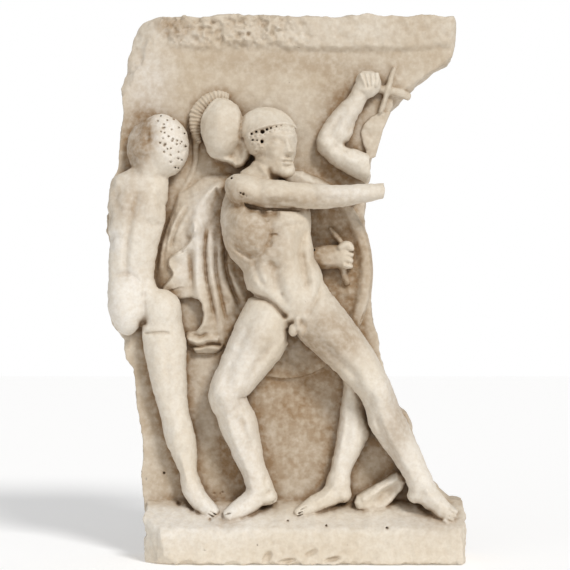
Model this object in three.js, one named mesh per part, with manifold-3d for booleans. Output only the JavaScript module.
// A marble relief plaque, broken from a larger frieze and carved from one block.
// A nude warrior lunges to the right in front of a round shield. A cloak hangs behind the warrior and a
// crested helmet stands at the shoulder. A second nude, seen from the back, stands at the left edge. An
// opponent is lost at the right but for a raised arm with a sword, a lower leg and the foot behind it.
//
// Millimetres, +Z up. The back is the plane y = 0 and the carving faces -Y. The origin is the middle of
// the back. The carving is laid out on a square grid, as a carver squares up a drawing: x counts squares
// to the right of the middle, z squares up from it, and "out" squares forward from the slab's face.

import * as THREE from "three";
import { mergeVertices } from "three/addons/utils/BufferGeometryUtils.js";
import Module from "manifold-3d";

// Driving dimensions
const RELIEF_HEIGHT = 831; // underside to top edge
const SLAB_THICKNESS = 55; // back to the face between the figures
const BAND_PROUD = 13; // top band, forward of the face
const BAND_HEIGHT = 58;
const LEDGE_PROUD = 88; // ground ledge, forward of the face
const LEDGE_FRONT_HEIGHT = 52; // upright front of the ledge
const LEDGE_TOP_RISE = 36; // slope of the ledge's top, front to back
const SHIELD_FIELD_PROUD = 7; // hollow inside of the shield
const SHIELD_RIM_PROUD = 19;
const SHIELD_RIM_WIDTH = 17;
const ROOT_DEPTH = 6; // how far a carved form reaches into the slab
const LEDGE_LEFT = 213; // ends of the ledge, from the middle
const LEDGE_RIGHT = 274.5;
const LEDGE_NOSE_DROP = 5; // worn edge between the ledge's top and its front
const LEDGE_NOSE_RUN = 3;
const LEDGE_FOOT_RISE = 8; // chipped edge between the ledge's front and its underside
const LEDGE_FOOT_RUN = 6;
const LEDGE_LEFT_BREAK = 22; // broken off the ledge's front at its left end
const LEDGE_RIGHT_BREAK = 9;
const CORNER_BREAK = 8; // depth of the breaks behind the face: top left corner,
const LEFT_BREAK = 6; // left edge below it,
const RIGHT_BREAK = 4; // and right edge under the top right corner
const CLOAK_PROUD = 12; // ground of the cloak between its folds
const LOCK_PROUD = 3.3; // a lock of the crest over the grooves beside it
const PATCH_PROUD = 8; // rough patch left by the opponent's shoulder

// The carver's grid
const GRID_ROW_COUNT = 554;
const SQUARE = RELIEF_HEIGHT / GRID_ROW_COUNT;
const TOP = RELIEF_HEIGHT / 2;
const BOTTOM = -RELIEF_HEIGHT / 2;
const FACE = -SLAB_THICKNESS;

const wasm = await Module();
wasm.setup();
const { Manifold, Mesh } = wasm;

const solid = (geometry) => {
  const bare = geometry.clone();
  bare.deleteAttribute("normal");
  bare.deleteAttribute("uv");
  const merged = mergeVertices(bare, 1e-4);
  return new Manifold(
    new Mesh({
      numProp: 3,
      vertProperties: merged.attributes.position.array,
      triVerts: new Uint32Array(merged.index.array),
    }),
  );
};

// A closed skin over a row of rings with equally many points, with a pole at each end.
function skin(rings) {
  const sides = rings[0].length;
  const middle = (ring) =>
    ring.reduce((sum, p) => sum.add(p), new THREE.Vector3()).divideScalar(sides);
  const points = [...rings.flat(), middle(rings[0]), middle(rings.at(-1))];
  const firstPole = rings.length * sides;
  const faces = [];
  for (let i = 0; i < sides; i++) {
    const next = (i + 1) % sides;
    for (let r = 0; r + 1 < rings.length; r++) {
      const low = r * sides;
      const high = low + sides;
      faces.push(low + i, low + next, high + next, low + i, high + next, high + i);
    }
    const last = (rings.length - 1) * sides;
    faces.push(firstPole, next, i, firstPole + 1, last + i, last + next);
  }
  let sixVolumes = 0;
  for (let f = 0; f < faces.length; f += 3) {
    const [a, b, c] = [points[faces[f]], points[faces[f + 1]], points[faces[f + 2]]];
    sixVolumes += a.dot(b.clone().cross(c));
  }
  if (sixVolumes < 0) faces.reverse();
  const geometry = new THREE.BufferGeometry().setFromPoints(points);
  return solid(geometry.setIndex(faces));
}

// Smooth values through a list of rows, at a place between 0 and the last row.
function between(rows, place) {
  const i = Math.min(Math.floor(place), rows.length - 2);
  const t = place - i;
  const before = rows[Math.max(i - 1, 0)];
  const after = rows[Math.min(i + 2, rows.length - 1)];
  return rows[i].map((from, k) => {
    const to = rows[i + 1][k];
    const leave = (to - before[k]) / 2;
    const arrive = (after[k] - from) / 2;
    return (
      (2 * t ** 3 - 3 * t ** 2 + 1) * from +
      (t ** 3 - 2 * t ** 2 + t) * leave +
      (3 * t ** 2 - 2 * t ** 3) * to +
      (t ** 3 - t ** 2) * arrive
    );
  });
}

// A limb in relief. Each row is [x, z, half width, out of its widest plane, bulge in front of it] on the
// grid. Its front is rounded by so many facets and its back is rooted in the slab. A sixth value makes
// the limb free of the slab, with a round back of that bulge.
const UNDERCUT_RATIO = 0.8; // share of a rooted limb's width that is left where it meets the slab
function limb(rows, { facets = 4, cap = 0.6, root = UNDERCUT_RATIO } = {}) {
  const count = rows.length - 1;
  const headingAt = (s) => {
    const a = rows[Math.max(s - 1, 0)];
    const b = rows[Math.min(s + 1, count)];
    return new THREE.Vector2(b[0] - a[0], b[1] - a[1]).normalize();
  };
  const ringAt = (s, shift, scale) => {
    const [x, z, width, out, bulge, back] = rows[s];
    const heading = headingAt(s);
    const point = (side, forward) =>
      new THREE.Vector3(
        (x + heading.x * shift - heading.y * side) * SQUARE,
        FACE - forward,
        (z + heading.y * shift + heading.x * side) * SQUARE,
      );
    const around = (angle, deep) =>
      point(width * scale * Math.cos(angle), (out + deep * scale * Math.sin(angle)) * SQUARE);
    const ring = [];
    for (let i = 0; i <= facets; i++) ring.push(around((Math.PI * i) / facets, bulge));
    if (back === undefined) {
      ring.push(point(-width * scale * root, -ROOT_DEPTH), point(width * scale * root, -ROOT_DEPTH));
    } else {
      for (let i = 1; i < facets; i++) ring.push(around(Math.PI + (Math.PI * i) / facets, back));
    }
    return ring;
  };
  const rings = rows.map((row, s) => ringAt(s, 0, 1));
  if (cap > 0) {
    rings.unshift(ringAt(0, -cap * rows[0][2], 0.6));
    rings.push(ringAt(count, cap * rows[count][2], 0.6));
  }
  return skin(rings);
}

// A rounded swelling: middle [x, z, out], half sizes [across, up, out], turned in the slab's plane.
function swelling([x, z, out], [across, up, deep], degrees = 0, detail = 8) {
  const ball = new THREE.SphereGeometry(1, detail, Math.max(3, Math.round(detail * 0.6)));
  ball.scale(across * SQUARE, deep * SQUARE, up * SQUARE);
  ball.rotateY(THREE.MathUtils.degToRad(-degrees));
  ball.translate(x * SQUARE, FACE - out * SQUARE, z * SQUARE);
  return solid(ball);
}

// A plate with a drawn outline, from one distance forward of the face to another, in millimetres.
function plate(outline, from, to) {
  const shape = new THREE.Shape(outline.map(([x, z]) => new THREE.Vector2(x * SQUARE, z * SQUARE)));
  const body = new THREE.ExtrudeGeometry(shape, { depth: to - from, bevelEnabled: false });
  body.rotateX(Math.PI / 2);
  body.translate(0, FACE - from, 0);
  return solid(body);
}

// A box to cut with: it fills one side of a plane through a point, away from the stone.
const CUTTER = 220;
function cutter(point, outward) {
  const box = new THREE.BoxGeometry(CUTTER, CUTTER, CUTTER);
  box.translate(0, 0, CUTTER / 2);
  const turn = new THREE.Quaternion().setFromUnitVectors(
    new THREE.Vector3(0, 0, 1),
    new THREE.Vector3(...outward).normalize(),
  );
  box.applyQuaternion(turn);
  box.translate(...point);
  return solid(box);
}

// The broken edge, clockwise from the top left. Top and bottom rows stand on the stone's real height.
const TOP_ROW = TOP / SQUARE;
const BOTTOM_ROW = BOTTOM / SQUARE;
const EDGE = [
  [-134, TOP_ROW - 4], [-100, TOP_ROW - 2], [0, TOP_ROW - 1], [88, TOP_ROW], [143, TOP_ROW],
  [175, TOP_ROW - 4], [175, 232], [169, 224], [155, 218], [137, 206], [122, 190], [107, 174], [97, 157],
  [90, 137], [87, 116], [84, 90], [83, 72], [85, 52], [88, 26], [88, -6], [90, -36], [98, -74],
  [110, -108], [127, -130],
  [133, -152], [143, -182], [158, -208], [178, -224], [184, -240], [184, -256], [178, BOTTOM_ROW],
  [-126, BOTTOM_ROW], [-140, -262], [-145, -222], [-148, -192], [-146, -150], [-151, -126], [-153, -90],
  [-166, -56], [-177, -46], [-181, -8], [-179, 28], [-184, 56], [-179, 100], [-170, 132], [-168, 166],
  [-168, 190], [-164, 214], [-157, 244], [-148, 264],
];

function slab() {
  const stone = plate(EDGE, -SLAB_THICKNESS, 0);
  const topFrom = (TOP - BAND_HEIGHT) / SQUARE;
  const band = plate(
    [[-108, topFrom + 4], [-60, topFrom + 1], [20, topFrom - 1], [130, topFrom], [160, topFrom + 6],
      [164, topFrom + 22], [171, TOP_ROW - 5], [143, TOP_ROW], [88, TOP_ROW], [0, TOP_ROW - 1],
      [-92, TOP_ROW - 2], [-101, TOP_ROW - 20]],
    -ROOT_DEPTH,
    BAND_PROUD,
  );
  const breaks = [
    cutter([-150 * SQUARE, FACE + CORNER_BREAK, 262 * SQUARE], [-0.8, -0.9, 0.55]),
    cutter([-166 * SQUARE, FACE + LEFT_BREAK, 215 * SQUARE], [-1, -0.8, 0.1]),
    cutter([150 * SQUARE, FACE + RIGHT_BREAK, 214 * SQUARE], [0.9, -0.9, -0.9]),
  ];
  return breaks.reduce((block, cut) => block.subtract(cut), Manifold.union([stone, band]));
}

// The ledge that the figures stand on: its section is drawn in depth and height, and run along x.
function ledge() {
  const frontTop = BOTTOM + LEDGE_FRONT_HEIGHT;
  const middle = BOTTOM + LEDGE_FRONT_HEIGHT * 0.58;
  const outline = [
    [-SLAB_THICKNESS / 2, frontTop + LEDGE_TOP_RISE],
    [0, frontTop + LEDGE_TOP_RISE],
    [LEDGE_PROUD * 0.55, frontTop + LEDGE_TOP_RISE * 0.5],
    [LEDGE_PROUD - LEDGE_NOSE_RUN, frontTop],
    [LEDGE_PROUD, frontTop - LEDGE_NOSE_DROP],
    [LEDGE_PROUD, BOTTOM + LEDGE_FOOT_RISE],
    [LEDGE_PROUD - LEDGE_FOOT_RUN, BOTTOM],
    [-SLAB_THICKNESS / 2, BOTTOM],
  ];
  const section = new THREE.Shape(outline.map(([out, z]) => new THREE.Vector2(out, z)));
  const run = new THREE.ExtrudeGeometry(section, {
    depth: LEDGE_LEFT + LEDGE_RIGHT,
    bevelEnabled: false,
  });
  // The section's first axis becomes -y and it runs from the right end to the left.
  run.applyMatrix4(
    new THREE.Matrix4().set(0, 0, -1, LEDGE_RIGHT, -1, 0, 0, FACE, 0, 1, 0, 0, 0, 0, 0, 1),
  );
  const body = solid(run);
  const corners = [
    cutter([-LEDGE_LEFT + LEDGE_LEFT_BREAK, FACE - LEDGE_PROUD, middle], [-1, -0.75, -0.2]),
    cutter([LEDGE_RIGHT - LEDGE_RIGHT_BREAK, FACE - LEDGE_PROUD, middle], [1, -0.7, 0]),
    cutter([-LEDGE_LEFT, FACE - LEDGE_PROUD * 0.7, frontTop], [-0.7, -0.5, 1]),
  ];
  return corners.reduce((stone, cut) => stone.subtract(cut), body);
}

// The shield behind the warrior, seen from inside: a hollow field with a raised rim.
const SHIELD = { x: 4.5, z: 15, across: 129, up: 159, turn: 4 }; // middle and half sizes
const SHIELD_RIM_ARC = [-42, 84]; // degrees, the part of the rim that shows
function shieldOutline(inset, from, to, count) {
  const turn = THREE.MathUtils.degToRad(SHIELD.turn);
  return Array.from({ length: count }, (_, i) => {
    const angle = THREE.MathUtils.degToRad(from + ((to - from) * i) / (count - 1));
    const x = (SHIELD.across - inset) * Math.cos(angle);
    const z = (SHIELD.up - inset) * Math.sin(angle);
    return [
      (SHIELD.x + x * Math.cos(turn) + z * Math.sin(turn)) / SQUARE,
      (SHIELD.z - x * Math.sin(turn) + z * Math.cos(turn)) / SQUARE,
    ];
  });
}

function shield() {
  const count = 22;
  const field = shieldOutline(0, 0, 360 - 360 / count, count);
  const outer = shieldOutline(0, ...SHIELD_RIM_ARC, 14);
  const inner = shieldOutline(SHIELD_RIM_WIDTH, ...SHIELD_RIM_ARC, 14);
  return [
    plate(field, -ROOT_DEPTH, SHIELD_FIELD_PROUD),
    plate([...outer, ...inner.reverse()], -ROOT_DEPTH, SHIELD_RIM_PROUD),
  ];
}

// The warrior's cloak: a ground with ridges for its folds. Each fold is a line of [x, z] with its half
// width and how far it stands out at the middle, in squares.
const CLOAK_FOLDS = [
  { line: [[-66, 108], [-82, 87], [-91, 64], [-96, 44]], wide: 8, out: 27 },
  { line: [[-92, 98], [-106, 72], [-118, 48], [-123, 26], [-124, 4]], wide: 4.5, out: 13 },
  { line: [[-86, 90], [-99, 66], [-110, 42], [-115, 22]], wide: 4.5, out: 16 },
  { line: [[-96, 48], [-106, 34], [-115, 18], [-113, 4], [-121, -9]], wide: 5, out: 18 },
  { line: [[-100, 26], [-101, 5], [-106, -11]], wide: 9, out: 16 },
  { line: [[-74, 98], [-87, 72], [-90, 40], [-89, 5], [-84, -20], [-83, -38]], wide: 6.5, out: 25 },
  { line: [[-66, 96], [-78, 68], [-79, 38], [-77, 5], [-71, -28], [-67, -54]], wide: 5.5, out: 22 },
  { line: [[-60, 80], [-69, 50], [-70, 24], [-64, -4], [-56, -28], [-49, -42]], wide: 5, out: 19 },
  { line: [[-58, 55], [-60, 28], [-57, 8], [-48, -12], [-40, -30]], wide: 4.5, out: 15 },
  { line: [[-98, -56], [-84, -58], [-72, -53], [-62, -58]], wide: 4, out: 15 },
  { line: [[-95, -65], [-78, -66], [-64, -63]], wide: 3.6, out: 12 },
];

function cloak() {
  const outline = [
    [-58, 112], [-95, 99], [-110, 92], [-117, 63], [-124, 40], [-126, 15], [-125, -8], [-122, -12],
    [-109, -16], [-92, -13], [-85, -18], [-81, -31], [-84, -43], [-92, -50], [-103, -53], [-99, -62],
    [-89, -70], [-67, -68], [-62, -58], [-42, -35], [-22, -20], [-22, 60],
  ];
  const folds = CLOAK_FOLDS.map(({ line, wide, out }) => {
    const last = line.length - 1;
    const rows = line.map(([x, z], i) => {
      const swell = 0.55 + 0.45 * Math.sin((Math.PI * i) / last);
      return [x, z, wide * (0.7 + 0.3 * swell), out * 0.45, out * 0.55 * swell];
    });
    return limb(rows, { facets: 2, cap: 0 });
  });
  return [plate(outline, -ROOT_DEPTH, CLOAK_PROUD), ...folds];
}

// A row of fingers or toes: each runs from its own root to its own tip, both on straight lines.
function digits(count, rootFrom, rootTo, tipFrom, tipTo, wide, out, bulge) {
  const mix = (a, b, t) => a.map((value, k) => value + (b[k] - value) * t);
  return Array.from({ length: count }, (_, i) => {
    const t = i / (count - 1);
    const root = mix(rootFrom, rootTo, t);
    const tip = mix(tipFrom, tipTo, t);
    return limb([[...root, wide, out, bulge], [...tip, wide * 0.85, out, bulge * 0.85]], {
      facets: 2,
      root: 1.2,
    });
  });
}

// The lunging warrior
function warriorTorso() {
  return [
    limb([[-17, 92, 42, 22, 22], [-19, 72, 45, 24, 27], [-17, 45, 43, 26, 28], [-7, 23, 37.5, 25, 26],
      [0, 5, 38.5, 25, 26], [2, -14, 34, 24, 25], [12, -34, 20, 20, 20]], { facets: 6, cap: 0.3 }),
    swelling([-38, 61, 45], [24, 19, 9], -12, 7),
    swelling([4, 62, 45], [22, 17, 9], 8, 7),
    swelling([-32, 36, 43], [19, 16, 8], -35, 7),
    swelling([10, 34, 43], [14, 18, 8], 12, 7),
    ...[24, 2].flatMap((z, i) => [
      swelling([-6 + 4 * i, z, 47], [7, 11, 5], 0, 6),
      swelling([9 + 3 * i, z - 1, 47], [7, 11, 5], 0, 6),
    ]),
    swelling([-25, 5, 40], [13, 17, 10], 12, 7),
    swelling([30, 5, 38], [9, 20, 11], 8, 7),
    swelling([10, -22, 42], [16, 15, 7], 0, 7),
    swelling([8, -46, 38], [5, 6.5, 6], 0, 6),
    swelling([17, -47, 38], [5, 6.5, 6], 0, 6),
    limb([[12, -34, 4, 36, 9], [13, -46, 3.4, 38, 8]], { facets: 3, cap: 0.4 }),
  ];
}

function warriorLegs() {
  return [
    limb([[-12, -22, 26, 20, 27], [-26, -53, 28, 22, 29], [-46, -88, 23.5, 22, 28],
      [-57, -112, 19.5, 22, 27], [-53, -124, 18.5, 21, 25], [-48, -140, 18.5, 19, 24],
      [-41, -158, 17, 18, 22], [-35, -177, 14.5, 18, 19], [-27, -200, 12.5, 20, 16]]),
    limb([[-17, -213, 10, 22, 13], [-33, -219, 10.5, 26, 13], [-48, -228, 10.5, 34, 10]]),
    ...digits(4, [-46, -223], [-52, -236], [-61, -231], [-60, -242], 3.4, 42, 5),
    swelling([-59, -112, 45], [12, 14, 7], 20, 6),
    limb([[23, -18, 25, 24, 28], [47, -50, 25.5, 26, 29], [66, -71, 23.5, 27, 28],
      [82, -92, 19.5, 27, 27], [93, -111, 16.5, 27, 26], [100, -134, 17.5, 25, 25],
      [112, -154, 17, 24, 23], [124, -174, 14.5, 24, 20], [136, -198, 12, 27, 16]]),
    limb([[129, -210, 8.5, 30, 12], [145, -216, 10, 35, 12], [158, -224, 10, 40, 10]]),
    ...digits(4, [154, -230], [165, -220], [160, -238], [171, -228], 3.4, 43, 5),
    swelling([92, -108, 50], [11, 14, 6], 30, 6),
  ];
}

function warriorArms() {
  return [
    limb([[-45, 94, 17, 30, 25], [-23, 92, 14.5, 38, 21], [5, 90, 13, 44, 17], [32, 88, 12, 46, 15],
      [52, 88, 6, 38, 8], [76, 91, 5, 36, 8]], { cap: 0.3 }),
    limb([[30, 88, 10, 46, 13, 10], [55, 88.5, 11, 46, 14, 12], [78, 91, 9.5, 45, 12, 11],
      [99, 93.5, 8, 44, 9, 9]], { cap: 0.12 }),
    limb([[28, 27, 11, 8, 9], [42, 28, 13, 9, 10], [54, 29, 12, 9, 10]]),
    swelling([60, 30, 14], [8, 14, 9], 0, 6),
    ...digits(4, [60, 40], [60, 20], [69, 40], [68, 20], 3, 17, 5),
    limb([[50, 55, 2.6, 10, 5], [60, 32, 2.6, 13, 5], [64, 0, 2.4, 8, 4]], { facets: 2 }),
  ];
}

function warriorHead() {
  const features = [
    limb([[1, 146, 3, 45, 9], [4, 138, 3.4, 46, 10], [6, 132, 4.4, 46, 9]], { facets: 2, cap: 0.3 }),
    limb([[-19, 147, 3, 42, 7], [-9, 150, 3, 45, 8], [1, 148, 3, 46, 8],
      [10, 148, 3, 40, 6]], { facets: 2 }),
    limb([[-4, 126, 1.6, 47, 6], [4, 127, 1.9, 48, 7], [9, 126, 1.5, 44, 6]], { facets: 2 }),
    limb([[-2, 122, 1.6, 47, 5], [4, 121, 2, 48, 6], [8, 122, 1.5, 44, 5]], { facets: 2 }),
  ];
  const curls = [[-33, 149], [-29, 140], [-22, 151], [-9, 157], [4, 157]];
  return [
    limb([[-20, 122, 15, 25, 17], [-26, 104, 20, 24, 18]], { cap: 0.4 }),
    swelling([-20, 155, 27], [21, 24, 26], 8, 9),
    swelling([-6, 138, 27], [17, 31, 25], -5, 9),
    swelling([2, 114, 41], [7, 6, 9], 0, 6),
    limb([[-41, 153, 4, 32, 8], [-22, 159, 4, 44, 9], [-4, 164, 4, 45, 9],
      [11, 159, 4, 34, 9]], { facets: 3 }),
    ...features,
    ...curls.map(([x, z]) => swelling([x, z, 42], [4.5, 4.5, 6], 0, 5)),
  ];
}

// The crested helmet at the warrior's shoulder: a plain dome with a fan of locks behind it.
const CREST_LOCK_COUNT = 11;
function helmet() {
  const line = [
    [-61, 191, 3.5, 12, 5], [-72, 191, 5.5, 11, 5], [-83, 186, 6.5, 10, 5], [-91, 176, 6.5, 9, 5],
    [-92, 163, 6, 8, 5], [-89, 150, 4.5, 7, 5], [-84, 134, 3, 5, 4], [-86, 120, 3, 5, 4],
  ];
  const crest = Array.from({ length: 2 * CREST_LOCK_COUNT }, (_, i) => {
    const place = ((line.length - 1) * i) / (2 * CREST_LOCK_COUNT - 1);
    const [x, z, wide, out, bulge] = between(line, place);
    const onLock = i % 2;
    return [x, z, wide + 0.6 * onLock, out, bulge + (onLock * LOCK_PROUD) / SQUARE];
  });
  return [
    swelling([-63, 156, 18], [21.5, 31, 24], 0, 9),
    limb([[-61, 155, 16, 10, 10], [-60, 140, 15, 10, 8]]),
    limb(
      [[-47, 184, 2.4, 26, 6], [-42, 172, 2.6, 28, 8], [-43, 156, 2.6, 28, 9], [-46, 147, 2.6, 28, 8]],
      { facets: 3, cap: 0.4 },
    ),
    limb(
      [[-43, 147, 3, 22, 7], [-36, 138, 3.2, 22, 8], [-37, 128, 3, 22, 8], [-44, 120, 3, 20, 7]],
      { facets: 3, cap: 0.4 },
    ),
    limb([[-43, 147, 11, 16, 6], [-42, 124, 11, 14, 6]]),
    limb(crest, { facets: 3 }),
  ];
}

// The nude at the left edge, seen from the back
const CURL_ROW_COUNT = 4;
const CURL_COUNT = 3; // in a row
function leftFigure() {
  const curls = [];
  for (let row = 0; row < CURL_ROW_COUNT; row++) {
    for (let k = 0; k < CURL_COUNT; k++) {
      const angle = THREE.MathUtils.degToRad(-48 + 56 * k + 20 * (row % 2));
      const reach = 0.97 - 0.22 * row;
      const [x, z] = [-124 + 28 * reach * Math.cos(angle), 144 + 30 * reach * Math.sin(angle)];
      curls.push(swelling([x, z, 18 + 15 * Math.sqrt(1 - reach * reach)], [6, 6, 7], 0, 5));
    }
  }
  return [
    swelling([-125, 143, 14], [28, 31, 22], 0, 9),
    swelling([-144, 140, 13], [16, 26, 17], -8, 7),
    ...curls,
    limb([[-134, 122, 15, 13, 16], [-138, 104, 20, 14, 16]], { cap: 0.4 }),
    limb([[-143, 113, 19, 12, 11], [-147, 103, 29, 14, 15], [-150, 85, 30, 15, 17],
      [-152, 65, 28.5, 16, 18], [-156, 40, 23, 15, 17], [-158, 18, 20.5, 13, 15],
        [-156, 0, 21, 14, 16], [-150, -14, 26, 14, 16]],
      { facets: 6, cap: 0.3 }),
    swelling([-167, 92, 19], [12, 17, 15], -8, 7),
    swelling([-131, 90, 20], [11, 19, 15], 10, 7),
    swelling([-161, -18, 15], [17.5, 31, 20], 4, 9),
    swelling([-124, -28, 15], [20, 22, 18], 0, 8),
    limb([[-124, -36, 20, 14, 17], [-122, -60, 21.5, 14, 18], [-119, -85, 19.5, 14, 18],
      [-116, -105, 17.5, 14, 16], [-113, -125, 15, 13, 15], [-109, -140, 15, 13, 15],
      [-105, -155, 15.5, 13, 16], [-101, -170, 13, 13, 14], [-98, -185, 10, 13, 12],
        [-95, -202, 7.5, 14, 10]]),
    limb([[-96, -217, 6.5, 15, 9], [-84, -220, 8, 18, 9], [-73, -230, 6.5, 24, 7]]),
  ];
}

// What is left of the opponent at the right
function opponent() {
  return [
    limb([[43, 142, 12.5, 8, 12], [51, 152, 15, 8, 13], [58, 167, 13, 8, 12], [69, 182, 10, 8, 11],
      [75, 192, 9.5, 8, 11]]),
    limb([[44, 141, 12, 8, 12], [56, 130, 13, 8, 13], [70, 124, 13.5, 8, 14], [84, 116, 13.5, 8, 14]],
      { cap: 0.1 }),
    swelling([85, 203, 11], [13, 14, 13], 15, 7),
    ...digits(4, [78, 215], [95, 214], [81, 204], [92, 200], 3.2, 20, 6),
    limb([[77, 196, 4, 19, 6], [92, 197, 3.4, 19, 5]], { facets: 2 }),
    limb([[111, 220, 2.8, 8, 6], [104, 199, 3.4, 9, 6], [100, 178, 3, 8, 6]], { facets: 2 }),
    limb([[107, 203, 8, 5, 5], [124, 196, 7, 4, 4]], { facets: 2, cap: 0 }),
    plate(
      [[108, 176], [97, 175], [85, 169], [78, 161], [76, 156], [79, 147], [84, 130], [88, 130],
        [93, 157]],
      -ROOT_DEPTH,
      PATCH_PROUD,
    ),
    limb([[69, -100, 9, 8, 12], [69, -128, 13.5, 9, 14], [69, -147, 16.5, 9, 15],
      [64, -165, 13.5, 10, 14], [58, -182, 11, 11, 13], [54, -198, 11, 12, 12]]),
    limb([[57, -211, 9, 14, 12], [42, -216, 9.5, 18, 12], [27, -224, 8.5, 24, 10]]),
    ...digits(4, [30, -219], [22, -231], [15, -221], [19, -234], 3, 28, 5),
    limb([[117, -194, 7, 20, 8], [105, -205, 10, 20, 10], [89, -216, 11, 20, 9], [77, -224, 9, 20, 8]]),
  ];
}

const stone = Manifold.union([
  slab(), ledge(), ...shield(), ...cloak(), ...warriorTorso(), ...warriorLegs(), ...warriorArms(),
  ...warriorHead(), ...helmet(), ...leftFigure(), ...opponent(),
]);

const mesh = stone.getMesh();
const geometry = new THREE.BufferGeometry();
geometry.setAttribute("position", new THREE.BufferAttribute(mesh.vertProperties, 3));
geometry.setIndex(new THREE.BufferAttribute(mesh.triVerts, 1));

const marble = new THREE.MeshStandardMaterial({ color: 0xd8cdbd, roughness: 0.62, metalness: 0 });
const relief = new THREE.Mesh(geometry, marble);
relief.name = "marble_relief";

const plaque = new THREE.Group();
plaque.add(relief);
export default plaque;
